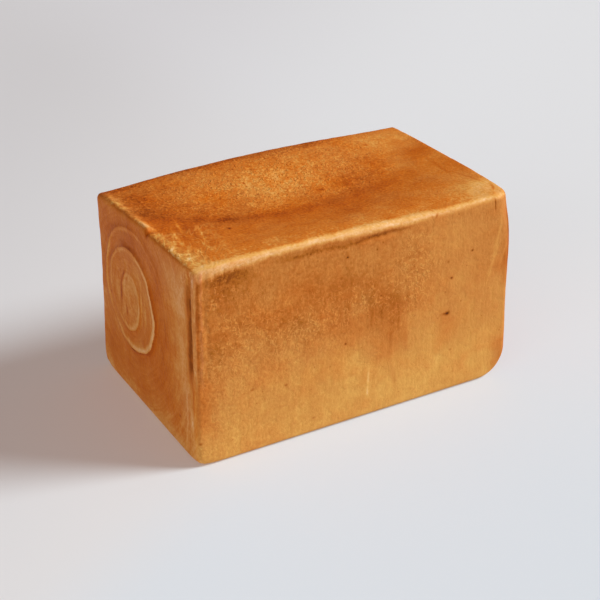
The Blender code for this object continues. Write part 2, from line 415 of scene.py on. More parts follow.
def loafSurface(bench, s, place):
    half, side = s["length"] / 2.0, s["width"] / 2.0
    rawX, rawY, rawZ = place.split()
    x, y, z, out = roundedBox(s, rawX, rawY, rawZ)
    along, across, up = x / half, y / side, z / s["height"]
    middle = 4.0 * up * (1.0 - up)
    left, fromFront = x + half, y + side

    # the taper of the tin and the swell of the sides and ends
    newY = y + s["sideTaper"] * (1.0 - 2.0 * up) * across
    sideways = across.math("SIGN") * ramp(0.5, 1.0, abs(across))
    newY = newY + s["sideSwell"] * (1.0 - along * along) * middle * sideways
    newX = x + s["endTaper"] * (1.0 - 2.0 * up) * along
    swell = bell(z - s["endSwellHeight"], s["endSwellReach"])
    swell = swell * (1.0 - 0.2 * across * across - 0.2 * ramp(-0.2, 1.0, across))
    newX = newX + s["endSwell"] * ramp(0.7, 1.0, along) * swell

    # the sunken top, its arched back rim and its corners
    newZ = z - s["backLower"] * up * across - hollow(s, x, y, up)
    arch = bell(x - s["backArchAt"], s["backArchReach"])
    newZ = newZ + s["backArch"] * arch * ramp(-0.1, 1.0, across) * ramp(0.5, 1.0, up)
    wave = (along * math.pi).sine() * ramp(-0.4, -1.0, across) * ramp(0.6, 1.0, up)
    newZ = newZ - s["frontEdgeWave"] * wave
    newZ = newZ + s["rightRise"] * ramp(0.4, 1.0, along) * (1.0 - across * across) * ramp(0.6, 1.0, up)
    backCorner = ramp(-0.5, -1.0, along) * ramp(0.0, 1.0, across) * ramp(0.6, 1.0, up)
    newZ = newZ - s["backCornerDrop"] * backCorner
    newX = newX - s["backCornerFlare"] * backCorner
    rightCorner = ramp(0.84, 1.0, along) * ramp(-0.3, -1.0, across) * ramp(0.8, 1.0, up)
    newZ = newZ - s["rightCornerDrop"] * rightCorner
    softer = s["softCorner"] * bell(length3(left, fromFront, s["height"] - z), s["softCornerReach"])
    newX, newY, newZ = newX + softer, newY + softer, newZ - softer
    nearer = side - abs(y)
    foot = s["footCorner"] * bell(length3(left, nearer, z), s["footCornerReach"])
    newX, newY, newZ = newX + foot, newY - foot * across, newZ + foot

    # the lip along the left edge of the top, the notch that ends it and the bent wrinkles
    top = ramp(0.93, 1.0, up)
    lip = ramp(s["notchAt"], s["notchAt"] + 2.0, y) * ramp(side, side - 14.0, y)
    lip = lip * (0.8 + 0.5 * bell(y - s["notchAt"] - 6.0, 8.0))
    newZ = newZ + s["lipHeight"] * lip * bell(left - 2.0, s["lipWidth"]) * top
    newZ = newZ - s["notchDepth"] * bell(y - s["notchAt"], s["notchWidth"]) * bell(left, 4.0) * top
    newZ = newZ + s["wrinkles"] * 3.0 * topWave(bench, place, rawX, rawY) * top

    # the swirl on both ends, then the fold, the crease and the wrinkles by the left end
    inside = ramp(1.0, 0.9, abs(across)) * ramp(1.0, 0.92, up) * ramp(0.0, 0.08, up)
    atLeft, atRight = ramp(-0.97, -1.0, along), ramp(0.97, 1.0, along)
    swirlPlace = endPlace(s, y, z, out[0] > 0.0)
    fromMiddle = swirlPlace[0] - s["swirlAcross"], swirlPlace[1] - s["swirlUp"]
    relief = swirlRelief(bench, s, place, *fromMiddle)
    newX = newX + relief * inside * (0.8 * atRight - atLeft)

    wander = foldWander(bench, rawZ)
    fold = bell(fromFront - s["foldFromCorner"] + wander * 2.6, s["foldWidth"])
    fold = fold * ramp(s["foldFoot"], s["foldFoot"] + 14.0, z) * ramp(s["height"], s["height"] - 9.0, z)
    newX = newX + s["foldDepth"] * fold * atLeft
    front = ramp(-0.9, -1.0, across)
    crease = bell(x - s["creaseCentre"], s["creaseLength"]) * bell(z - s["height"] + s["creaseBelow"], 1.3)
    newY = newY + s["creaseDepth"] * crease * front
    newY = newY - s["wrinkles"] * cornerWave(bench, rawX + half, rawZ) * front
    return newX, newY, newZ, out


# how dark each side is: 0 palest, 1 darkest, mostly from how it baked but with some painted shade. A spot
# is its middle along the side and up or across it, its two half widths, and how much darker it is than
# what lies round it. The other lists have the same rows, for how much redder, more golden or fuller of
# flecks it is
sideBakeAndShade = {
    # the back is painted redder to offset the cool shade that falls on it
    "start": 0.595, "footPaler": 0.245, "rightPaler": 0.10, "backWarmthAgainstShade": 0.35,
    # painted shade: the rounded front right corner is darkened where the lamp falls on it
    "shoulderShade": 0.20, "underDarker": 0.24,
    "spots": (
        # the first spot, under the left end of the pale band on the front, is painted shade
        (-80.0, 104.0, 14.0, 8.0, 0.20), (-45.0, 84.0, 34.0, 13.0, 0.03), (-6.0, 84.0, 22.0, 9.0, 0.10),
        (20.0, 66.0, 15.0, 8.0, 0.16), (21.0, 47.0, 8.0, 12.0, 0.07), (-98.0, 34.0, 8.0, 16.0, 0.12),
        (97.0, 14.0, 7.0, 13.0, 0.23), (101.0, 90.0, 6.0, 22.0, 0.22), (-88.0, 88.0, 10.0, 12.0, 0.04),
        (88.0, 48.0, 12.0, 14.0, 0.05), (-55.0, 52.0, 20.0, 20.0, -0.06),
        (-8.0, 48.0, 20.0, 14.0, -0.04), (-90.0, 58.0, 9.0, 46.0, 0.045),
        (-6.0, 36.0, 18.0, 13.0, -0.11), (30.0, 16.0, 50.0, 14.0, -0.07), (60.0, 42.0, 9.0, 8.0, 0.09),
        (-38.0, 40.0, 20.0, 10.0, -0.04), (90.0, 88.0, 14.0, 20.0, 0.04), (-42.0, 70.0, 9.0, 7.0, 0.07),
        (-20.0, 63.0, 12.0, 5.0, 0.07), (8.0, 58.0, 9.0, 5.0, 0.08),
    ),
    "redder": (
        (-40.0, 84.0, 44.0, 14.0, 0.4), (-98.0, 34.0, 9.0, 18.0, 0.35), (60.0, 42.0, 10.0, 9.0, 0.1),
        (20.0, 55.0, 16.0, 20.0, 0.22), (-20.0, 45.0, 34.0, 16.0, 0.15), (102.0, 84.0, 4.0, 22.0, 0.5),
        (97.0, 14.0, 7.0, 12.0, 0.15),
    ),
    "flecks": (
        (-33.0, 66.0, 24.0, 18.0, 0.5), (38.0, 90.0, 14.0, 18.0, 0.55), (2.0, 76.0, 22.0, 12.0, 0.45),
        (-62.0, 78.0, 20.0, 18.0, 0.3), (-84.0, 62.0, 20.0, 34.0, 0.4), (30.0, 66.0, 22.0, 16.0, 0.4),
        (-90.0, 98.0, 12.0, 14.0, 0.4),
    ),
}
topBake = {
    "start": 0.52, "valleyDarker": 0.09, "valleyWidth": 9.0, "lineDarker": 0.10, "lineWidth": 4.5,
    "frontPaler": 0.15, "backEdge": 0.26, "valleyGolder": 0.25, "fewestFlecks": 0.35,
    "spots": (
        (-4.0, 28.0, 36.0, 16.0, -0.17), (-88.0, 28.0, 22.0, 28.0, 0.22),
        (-92.0, -2.0, 20.0, 44.0, 0.08), (98.0, -52.0, 26.0, 20.0, -0.20),
        (82.0, 46.0, 30.0, 16.0, -0.20), (42.0, 12.0, 20.0, 17.0, 0.16), (-38.0, -4.0, 20.0, 6.0, 0.05),
        (14.0, -20.0, 13.0, 10.0, 0.09), (-12.0, 12.0, 16.0, 12.0, -0.08),
        (78.0, 6.0, 24.0, 14.0, -0.14), (86.0, -38.0, 16.0, 14.0, -0.09),
        (74.0, -12.0, 20.0, 18.0, -0.06), (-58.0, 8.0, 26.0, 16.0, 0.06),
        (60.0, -25.0, 14.0, 10.0, -0.05), (-12.0, -31.0, 14.0, 10.0, -0.04),
        (-87.0, -52.0, 12.0, 8.0, 0.05), (-50.0, -12.0, 26.0, 9.0, 0.10),
        (-52.0, 52.0, 22.0, 8.0, -0.03),
    ),
    "golder": ((88.0, -42.0, 22.0, 20.0, -0.4), (-94.0, -44.0, 9.0, 16.0, -0.2)),
    "flecks": ((-6.0, 24.0, 62.0, 28.0, 0.5),),
}
endBakeAndShade = {
    # painted shade: the right end is darkened where the lamp falls on it
    "start": 0.378, "rightEndShade": 0.25, "amber": 0.95, "rightGolder": 0.25,
    "spots": (
        (14.0, 103.0, 34.0, 8.0, 0.18), (-17.0, 85.0, 7.0, 12.0, 0.19), (-26.0, 60.0, 7.0, 22.0, 0.16),
        (-12.0, 34.0, 22.0, 12.0, 0.12), (46.0, 26.0, 6.0, 8.0, 0.14), (56.0, 76.0, 8.0, 30.0, 0.06),
        (20.0, 20.0, 26.0, 12.0, 0.08), (-46.0, 98.0, 14.0, 16.0, -0.08),
        (-49.0, 74.0, 8.0, 40.0, -0.17), (-55.5, 28.0, 5.0, 17.0, -0.13), (-38.0, 6.0, 20.0, 8.0, -0.08),
        (23.0, 68.0, 12.0, 15.0, -0.07), (54.0, 26.0, 8.0, 40.0, -0.06), (36.0, 88.0, 6.0, 6.0, 0.12),
        (-34.0, 84.0, 8.0, 18.0, -0.07), (0.0, 18.0, 60.0, 20.0, -0.05), (10.0, 0.0, 60.0, 8.0, -0.12),
        (6.0, 66.0, 16.0, 22.0, -0.08), (52.0, 103.0, 10.0, 10.0, 0.06), (52.0, 10.0, 10.0, 10.0, -0.05),
        (-30.0, 104.0, 12.0, 10.0, -0.05),
    ),
    "golder": ((-20.0, 2.0, 60.0, 8.0, -0.4), (54.0, 66.0, 8.0, 40.0, 0.2)),
    "rosy": (
        (-48.0, 66.0, 10.0, 40.0, 0.22), (-36.0, 102.0, 26.0, 14.0, 0.35), (-52.0, 32.0, 5.0, 14.0, 0.3),
        (20.0, 98.0, 26.0, 12.0, 0.25),
    ),
}
bakeWander = {"size": 25.0, "amount": 20.0}  # how far noise moves all of these about


def wanderOf(bench, place, size, amount, detail=1.0):
    # the place moved about by noise
    moved = bench.noise(place, size, detail, output="Color").vector("SUBTRACT", (0.5, 0.5, 0.5))
    return moved.vector("MULTIPLY_ADD", (amount, amount, amount), place)


def sideDark(sidePlace, x, z):
    dark = sideBakeAndShade["start"] - sideBakeAndShade["footPaler"] * ramp(78.0, 4.0, z)
    dark = dark - sideBakeAndShade["rightPaler"] * ramp(10.0, 60.0, x) * ramp(0.0, 50.0, z)
    return spotted(sidePlace, sideBakeAndShade["spots"], dark)


def topDark(topPlace, x, y, side, valley):
    # the valley is the lowest line of the hollow, which baked darker
    dark = topBake["start"] + topBake["valleyDarker"] * bell(valley, topBake["valleyWidth"])
    line = bell(valley, topBake["lineWidth"]) * ramp(78.0, 40.0, abs(x + 14.0))
    dark = dark + topBake["lineDarker"] * line - topBake["frontPaler"] * ramp(-26.0, -58.0, y)
    backEdge = bell(y - side + 4.0, 4.0) * ramp(95.0, 70.0, abs(x + 25.0))
    return spotted(topPlace, topBake["spots"], dark + topBake["backEdge"] * backEdge)


def endDark(onEnd, rightward):
    # the right end is made darker: painted shade
    return spotted(onEnd, endBakeAndShade["spots"], endBakeAndShade["start"] + endBakeAndShade["rightEndShade"] * rightward)


def bakedToneAndShade(bench, s, place, out):
    # how dark the crust is, how amber rather than gold, and how full of flecks
    shifted = wanderOf(bench, place, bakeWander["size"], bakeWander["amount"], 3.0)
    x, y, z = shifted.split()
    half, side = s["length"] / 2.0, s["width"] / 2.0
    up, sideways, endways = [abs(part) * part for part in (out[2], out[1], out[0])]
    topShare, sideShare, endShare = up.high(0.0), abs(sideways), abs(endways)
    faced = x * (1.0 - 2.0 * (out[1] > 0.0))
    sidePlace = bench.join(faced, z, 0.0)
    along = x / half
    valley = y - s["hollowLine"] - 3.0 - s["hollowSwing"] * along * along
    rightward = out[0] > 0.0
    onEnd = bench.join(*endPlace(s, y, z, rightward), 0.0)

    top = topDark(shifted, x, y, side, valley) * topShare
    bake = top + sideDark(sidePlace, faced, z) * sideShare + endDark(onEnd, rightward) * endShare
    bake = bake + sideBakeAndShade["underDarker"] * (-1.0 * up).high(0.0)
    # painted shade on the rounded front right corner, where the lamp falls on it
    shoulder = 4.0 * endways.high(0.0) * (-sideways).high(0.0)
    shoulder = shoulder * ramp(62.0, 74.0, z) * ramp(110.0, 99.0, z)
    bake = bake + sideBakeAndShade["shoulderShade"] * shoulder

    topAmber = 1.0 - topBake["valleyGolder"] * ramp(-5.0, 20.0, valley)
    endAmber = endBakeAndShade["amber"] - endBakeAndShade["rightGolder"] * rightward
    amber = topShare * spotted(shifted, topBake["golder"], topAmber)
    amber = amber + sideShare * spotted(sidePlace, sideBakeAndShade["redder"])
    amber = amber + endShare * spotted(onEnd, endBakeAndShade["golder"], endAmber)
    # painted warmth: the back is made redder against the cool shade there
    amber = amber + sideBakeAndShade["backWarmthAgainstShade"] * sideways.high(0.0)

    flecks = topShare * ramp(-1.0, 6.0, valley) * ramp(85.0, 55.0, x)
    flecks = flecks * spotted(shifted, topBake["flecks"], topBake["fewestFlecks"])
    flecks = flecks + sideShare * spotted(sidePlace, sideBakeAndShade["flecks"])
    return bench.join(bake, amber, flecks)


def crowded(value, whole, amount):
    # a share of the cells drawn out towards both ends of an axis
    even = value / mm / (whole / 2.0)
    drawn = (even * (math.pi / 2.0)).sine()
    return whole / 2.0 * (even + (drawn - even) * amount)


def startingBox(bench, s):
    # a box of cells, and the place of each of its points in millimetres
    size = bench.join(s["length"] * mm, s["width"] * mm, s["height"] * mm)
    cells = {"Size": size}
    for axis in "xyz":
        cells["Vertices " + axis.upper()] = loafCells[axis] + 1
    box = bench.add("GeometryNodeMeshCube", {}, cells)
    x, y, z = bench.add("GeometryNodeInputPosition").split()
    x = crowded(x, s["length"], loafCells["crowdingX"])
    y = crowded(y, s["width"], loafCells["crowding"])
    z = crowded(z, s["height"], loafCells["crowding"]) + s["height"] / 2.0
    return box, bench.join(x, y, z)


def stored(bench, geometry, name, value):
    settings = {"data_type": "FLOAT_VECTOR", "domain": "POINT"}
    inputs = {"Geometry": geometry, "Name": name, "Value": value}
    return bench.add("GeometryNodeStoreNamedAttribute", settings, inputs)


skinSizes = {"broad": 26.0, "close": 6.5, "fine": 3.4}


def skinRelief(bench, s, place, flecky):
    # the unevenness, dimples and crumbs of the crust, which fade out towards the underside
    broad = bench.noise(place, skinSizes["broad"], 2.0) - 0.5
    close = bench.noise(place, skinSizes["close"], 2.0) - 0.5
    fine = bench.noise(place, skinSizes["fine"], 1.0) - 0.5
    skin = broad * s["unevenness"] + close * s["dimples"] + fine * flecky * s["crumbs"]
    return skin * ramp(0.0, 12.0, place.split()[2]) - s["inset"]


def buildLoafTree():
    tree = bpy.data.node_groups.new("loafForm", "GeometryNodeTree")
    tree.interface.new_socket(name="Geometry", in_out="OUTPUT", socket_type="NodeSocketGeometry")
    tree.interface.new_socket(name="crust", in_out="INPUT", socket_type="NodeSocketMaterial")
    for name, value in loafForm.items():
        socket = tree.interface.new_socket(name=name, in_out="INPUT", socket_type="NodeSocketFloat")
        socket.default_value = value
    bench = Bench(tree)
    given = bench.add("NodeGroupInput").socket.node
    s = {out.name: Wire(bench, out) for out in given.outputs if out.name}

    box, place = startingBox(bench, s)
    kept = stored(bench, box, "place", place)
    place = bench.add("GeometryNodeInputNamedAttribute", {"data_type": "FLOAT_VECTOR"}, {"Name": "place"})
    newX, newY, newZ, out = loafSurface(bench, s, place)
    kept = stored(bench, kept, "outward", bench.join(*out))
    tone = bakedToneAndShade(bench, s, place, out)
    kept = stored(bench, kept, "tone", tone)

    skin = skinRelief(bench, s, place, tone.split()[2].held())
    newX, newY, newZ = newX + out[0] * skin, newY + out[1] * skin, newZ + out[2] * skin
    moved = bench.join(newX * mm, newY * mm, newZ * mm)
    shaped = bench.add("GeometryNodeSetPosition", {}, {"Geometry": kept, "Position": moved})
    smooth = bench.add("GeometryNodeSetShadeSmooth", {}, {0: shaped})
    whole = bench.add("GeometryNodeRealizeInstances", {}, {0: smooth})
    dressed = bench.add("GeometryNodeSetMaterial", {}, {"Geometry": whole, "Material": s["crust"]})
    bench.add("NodeGroupOutput", {}, {0: dressed})
    print("loaf tree:", bench.count, "nodes")
    return tree


def bakedFrom(tree, name, values):
    # runs a tree on an empty mesh and keeps the result as a plain mesh
    holder = placed(name + "Maker", bpy.data.meshes.new(name + "Maker"))
    modifier = holder.modifiers.new(name, "NODES")
    modifier.node_group = tree
    for item in tree.interface.items_tree:
        if item.in_out == "INPUT" and item.name in values:
            modifier[item.identifier] = values[item.name]
    evaluated = holder.evaluated_get(bpy.context.evaluated_depsgraph_get())
    mesh = bpy.data.meshes.new_from_object(evaluated)
    holder.modifiers.remove(modifier)
    bpy.data.objects.remove(holder)
    return placed(name, mesh)


crustLook = {
    "roughness": 0.52, "roughnessSwing": 0.2, "gloss": 0.07, "bumpDepth": 0.0006, "bump": 0.8,
    "grain": 0.29, "grainMore": 0.22, "middling": 0.14, "middlingFlecky": 0.40, "hueSwing": 1.3,
    "speck": 0.31, "speckTop": 0.66, "speckEnds": 0.28, "streaks": 0.13,
    # flecks and crumbs: paler crust, partly painted glints
    "flecks": 0.85, "crumbs": 0.75, "fleckBake": 0.18, "pores": 0.26, "dots": 0.2, "worn": 0.07,
    # the swirl's crests are partly a painted highlight; its lee and trough are painted shade
    "crestAndHighlight": 0.37, "leeShade": 0.14, "troughShade": 0.17, "rings": 0.34,
    # the pale front band carries a painted sheen, and the crease under it painted shade
    "band": 0.95, "bandBake": 0.11, "bandCrease": 0.2, "strands": 0.4,
    # the fold's darkness is painted shade; the ridge at the corner is partly a painted highlight
    "fold": 0.64, "foldFoot": 0.16, "foldDarkest": 0.90, "ridge": 0.8, "ridgeBake": 0.27,
    # the top strands and the lip are partly a painted highlight
    "topStrands": 0.60, "topStrandBake": 0.33, "lip": 0.9, "lipBake": 0.10, "notch": 0.4,
}
# the width of one patch of each pattern of noise, in millimetres
patchSizes = {
    "hue": 17.0, "grain": 13.0, "middling": 3.6, "streak": 3.2, "speck": 1.5,
    "flecks": 3.4, "fleckBits": 3.6, "crumbs": 2.6, "pores": 2.2, "dots": 6.5,
    "rings": 1.5, "bandEdge": 2.4, "drips": 2.6, "corner": 2.2, "strands": 1.5,
}
# the pale band, less browned and with a painted sheen, measured across the rounded edge: 0 on it, more on
# the top, less on the front
frontBand = {"lowest": -3.2, "highest": 1.6, "crease": 7.3, "creaseRises": 2.2}
# each scale of colours runs from the palest bake to the darkest
goldStops = (
    (0.00, (0.87, 0.565, 0.28)), (0.10, (0.79, 0.455, 0.148)), (0.25, (0.71, 0.365, 0.084)),
    (0.35, (0.65, 0.298, 0.064)), (0.50, (0.585, 0.226, 0.047)), (0.65, (0.495, 0.163, 0.027)),
    (0.80, (0.395, 0.118, 0.011)), (0.90, (0.27, 0.070, 0.006)), (1.00, (0.11, 0.026, 0.004)),
)
amberStops = (
    (0.00, (0.87, 0.52, 0.24)), (0.10, (0.80, 0.385, 0.115)), (0.25, (0.72, 0.285, 0.050)),
    (0.35, (0.655, 0.196, 0.021)), (0.50, (0.59, 0.148, 0.010)), (0.65, (0.495, 0.105, 0.005)),
    (0.80, (0.405, 0.074, 0.003)), (0.90, (0.27, 0.045, 0.002)), (1.00, (0.11, 0.018, 0.001)),
)
rosyStops = (
    (0.00, (0.86, 0.56, 0.34)), (0.25, (0.70, 0.278, 0.096)), (0.50, (0.56, 0.182, 0.046)),
    (0.80, (0.37, 0.096, 0.015)), (1.00, (0.11, 0.026, 0.006)),
)
# small dark pits: the middle, the two half widths and the darkness
frontPits = (
    (57.0, 51.0, 1.7, 1.2, 0.62), (54.5, 51.3, 1.2, 0.8, 0.3), (73.5, 86.0, 0.8, 0.7, 0.5),
    (59.5, 72.5, 0.9, 0.7, 0.5), (-10.0, 50.5, 0.8, 0.7, 0.5), (-47.0, 36.0, 0.9, 0.7, 0.4),
    (-67.0, 39.0, 1.0, 0.7, 0.35), (-8.5, 101.0, 0.8, 0.6, 0.4), (10.0, 101.5, 0.6, 0.6, 0.36),
    (-98.0, 15.0, 1.1, 0.9, 0.45), (60.0, 27.0, 0.8, 0.6, 0.3), (57.0, 83.0, 0.8, 0.8, 0.3),
    (-30.0, 10.0, 0.8, 0.6, 0.3),
)
topPits = ((-56.0, -17.0, 1.2, 1.6, 0.45), (14.0, 5.0, 2.0, 1.6, 0.3), (67.0, 42.0, 1.6, 1.4, 0.18))
endPits = ((-42.0, 22.0, 1.4, 1.0, 0.35), (47.0, 57.0, 1.0, 0.7, 0.3))
# soft straight strokes: the middle, half length, half width, lean in degrees, amount
frontStrokes = (
    (4.8, 26.0, 5.5, 0.8, 2.0, -0.26), (4.4, 16.0, 3.5, 0.7, -4.0, -0.24),
    (22.0, 19.0, 6.0, 1.6, -8.0, 0.14), (90.0, 92.0, 11.0, 0.9, 12.0, -0.16),
    (87.0, 74.0, 12.0, 1.1, 16.0, -0.14), (94.0, 78.0, 12.0, 0.8, 14.0, -0.10),
    (88.0, 111.0, 4.0, 0.5, 0.0, 0.45), (49.0, 113.0, 1.6, 0.7, 30.0, 0.40),
    # the first stroke on the next line, just under the pale band, is painted shade
    (-31.0, 107.5, 3.5, 0.7, 38.0, 0.16), (46.0, 112.5, 1.2, 0.6, -20.0, 0.25),
    (13.0, 63.0, 8.0, 1.5, -4.0, 0.10), (24.0, 58.0, 12.0, 1.3, 0.0, 0.10),
    (19.0, 45.0, 12.0, 1.7, 2.0, 0.09), (29.0, 42.0, 9.0, 1.5, -6.0, 0.09),
    (7.0, 66.0, 6.0, 1.4, 8.0, 0.08),
)
topStrokes = (
    (47.5, -60.0, 1.4, 0.6, -30.0, 0.22), (87.0, -8.0, 14.0, 0.9, 6.0, 0.14),
    (91.0, -32.0, 12.0, 0.9, -14.0, 0.16), (94.5, -50.0, 4.5, 0.9, 20.0, 0.30),
    (-80.0, -4.0, 11.0, 0.9, 12.0, -0.32), (-73.0, -18.0, 10.0, 0.9, 16.0, -0.32),
    (-87.0, -16.0, 12.0, 1.0, 10.0, -0.34), (-92.0, -24.0, 7.0, 0.9, 22.0, -0.28),
    # painted shadows beside the pale strands: the strokes that add 0.12, 0.14 and 0.10
    (-77.5, -20.0, 9.0, 1.3, 14.0, 0.12), (-83.5, -18.0, 10.0, 1.3, 8.0, 0.14),
    (-75.8, -5.0, 9.0, 1.3, 12.0, 0.10), (-79.0, -36.0, 7.0, 1.0, 4.0, -0.22),
    (-86.0, -40.0, 6.0, 1.0, -8.0, -0.20), (-70.0, -38.0, 6.0, 1.0, 20.0, -0.16),
)
endStrokes = (
    (31.8, 64.0, 8.0, 1.1, -2.0, 0.50), (28.6, 75.0, 5.0, 1.0, -30.0, 0.42),
    (24.8, 55.5, 3.4, 1.0, 14.0, 0.42), (23.0, 76.0, 2.6, 0.8, -30.0, 0.20),
    (20.0, 33.6, 5.5, 1.1, 80.0, 0.24), (45.0, 82.0, 8.0, 1.3, -30.0, 0.18),
    (27.5, 66.0, 8.0, 1.6, -2.0, -0.12), (21.0, 66.0, 9.0, 1.4, 4.0, -0.07),
    (36.5, 66.0, 10.0, 1.6, -4.0, -0.06), (6.0, 69.0, 10.0, 0.7, 0.0, 0.13),
    (4.2, 68.0, 10.0, 0.8, 0.0, -0.12), (2.2, 68.0, 9.0, 0.7, 0.0, 0.13),
    (-1.0, 66.0, 8.0, 0.7, 2.0, -0.10), (9.0, 66.0, 8.0, 0.8, -4.0, 0.09),
    (-29.5, 71.0, 5.0, 0.6, 0.0, 0.10), (0.0, 76.0, 7.0, 0.7, 40.0, -0.10),
    (8.0, 84.0, 6.0, 0.8, 62.0, -0.08), (-51.5, 33.0, 6.0, 0.9, 0.0, -0.14),
    (-45.5, 21.0, 8.0, 0.9, -30.0, -0.10), (-50.6, 19.0, 11.0, 0.9, -9.0, -0.13),
    (-57.2, 25.0, 9.0, 0.9, 7.0, -0.13), (-53.8, 18.0, 10.0, 1.0, 0.0, 0.12),
)


class CrustPoint:
    # where a point of the crust lies, which side it is on, and the noises that its looks share.
    # Its darkness so far holds both how it baked and the painted shade and highlights: each of the next
    # functions adds one look to it
    def __init__(self, bench):
        size = patchSizes
        place = bench.add("ShaderNodeAttribute", {"attribute_name": "place"}, output="Vector")
        outward = bench.add("ShaderNodeAttribute", {"attribute_name": "outward"}, output="Vector")
        tone = bench.add("ShaderNodeAttribute", {"attribute_name": "tone"}, output="Vector")
        self.bench, self.place = bench, place
        self.x, self.y, self.z = place.split()
        self.squares = outward.vector("MULTIPLY", outward)
        self.ends, self.walls, flat = self.squares.split()
        self.outX, outY, self.outZ = outward.split()
        self.bake, self.amber, self.flecky = tone.split()
        self.top, self.front = flat * (self.outZ > 0.0), self.walls * (outY < 0.0)
        self.leftEnd = self.ends * (self.outX < 0.0)
        self.fromLeft = self.x + loafForm["length"] / 2.0
        self.fromFront = self.y + loafForm["width"] / 2.0
        self.fromTop = loafForm["height"] - self.z

        self.grain = bench.noise(place, size["grain"], 6.0, 0.62) - 0.5
        self.middling = bench.noise(place.vector("ADD", (9.0, 3.0, 44.0)), size["middling"], 2.0) - 0.5
        self.speck = bench.noise(place, size["speck"], 2.0, 0.6) - 0.5
        drawnOut = bench.join(self.x, self.y, self.z * 0.13)
        self.streak = bench.noise(drawnOut, size["streak"], 2.5) - 0.5
        self.hue = bench.noise(place.vector("ADD", (70.0, 3.0, 8.0)), size["hue"], 3.0) - 0.5
        self.onFront = bench.join(self.x, self.z, 0.0)
        self.onEnd = bench.join(self.y, self.z, 0.0)


def addGrain(at):
    # the grain everywhere, coarser towards the left, and streaks that run down the long sides
    look = crustLook
    at.bake = at.bake + at.grain * (at.top + 0.5 * at.ends).grown(look["grainMore"], look["grain"])
    at.bake = at.bake + at.middling * at.flecky.grown(look["middlingFlecky"], look["middling"])
    coarse = ramp(70.0, -70.0, at.x - 0.9 * (at.z - 60.0))
    speckTop = at.top * look["speckTop"] * ramp(95.0, 45.0, at.x).grown(0.45, 0.55)
    speckWalls = at.walls * look["speck"] * coarse.grown(1.05, 0.45)
    at.bake = at.bake + at.speck * (speckTop + at.ends * look["speckEnds"] + speckWalls)
    streaks = look["streaks"] * at.streak * at.walls * ramp(105.0, 60.0, at.z)
    at.bake = at.bake + streaks * coarse.grown(0.65, 0.35)
    at.bake = at.bake - look["worn"] * (1.0 - at.squares.dot(at.squares))


def addFlecks(at):
    # pale flecks, short and bent, and pale crumbs, paler crust with painted glints on it, and the dark
    # pores and dots between them
    look, size, bench, place = crustLook, patchSizes, at.bench, at.place
    curl = bench.noise(place, size["flecks"], 1.0)
    bits = bench.noise(place.vector("ADD", (31.0, 7.0, 19.0)), size["fleckBits"], 1.0)
    at.fleck = ramp(0.055, 0.0, abs(curl - 0.5)) * ramp(0.40, 0.56, bits) * at.flecky
    inCell = {"Vector": wanderOf(bench, place, 3.0, 2.4), "Scale": 1.0 / size["crumbs"]}
    cell = bench.add("ShaderNodeTexVoronoi", {}, inCell)
    chosen = Wire(bench, cell.socket.node.outputs["Color"]).split()[0]
    at.crumb = ramp(0.42, 0.22, cell) * ramp(0.50, 0.70, chosen + 0.3 * at.flecky) * at.flecky
    pore = bench.noise(place.vector("ADD", (5.0, 50.0, 3.0)), size["pores"], 1.0)
    at.pore = ramp(0.38, 0.25, pore) * (at.flecky * at.top).grown(0.7, 0.12)
    inCell = {"Vector": place.vector("ADD", (0.0, 0.0, 11.0)), "Scale": 1.0 / size["dots"]}
    dots = ramp(0.10, 0.04, bench.add("ShaderNodeTexVoronoi", {}, inCell)) * at.walls
    # the flecks and crumbs are made paler: partly paler crust, partly painted glints
    pale = (look["flecks"] * at.fleck).high(look["crumbs"] * at.crumb)
    at.bake = at.bake.toward(look["fleckBake"], pale) + look["pores"] * at.pore + look["dots"] * dots


def addDough(at):
    # the rolled dough on the ends: thin rings, and each edge's pale crest, partly a painted highlight,
    # with painted shade in the lee beyond it
    look, bench = crustLook, at.bench
    across, rise = endPlace(loafForm, at.y, at.z, at.outX > 0.0)
    across, rise = across - loafForm["swirlAcross"], rise - loafForm["swirlUp"]
    step = swirlSteps(bench, at.place, across, rise)
    reach = step["reach"].high(1.0)
    turned = bench.join(reach / patchSizes["rings"], across / reach * 2.5, rise / reach * 2.5)
    rings = bench.noise(turned, 1.0, 3.0) - 0.5
    # painted highlight on each crest, and painted shade beyond each edge
    crestAndHighlight = bell(step["left"] - 1.4, step["outerShows"].grown(1.4, 0.5)) * step["outerShows"]
    leeShade = bell(step["past"] - 0.5, 1.0) * step["innerShows"]
    troughShade = bell(step["past"], 4.5) * step["innerShows"]
    swirl = look["rings"] * rings - look["crestAndHighlight"] * crestAndHighlight + look["troughShade"] * troughShade + look["leeShade"] * leeShade
    at.bake = at.bake + at.ends * swirl


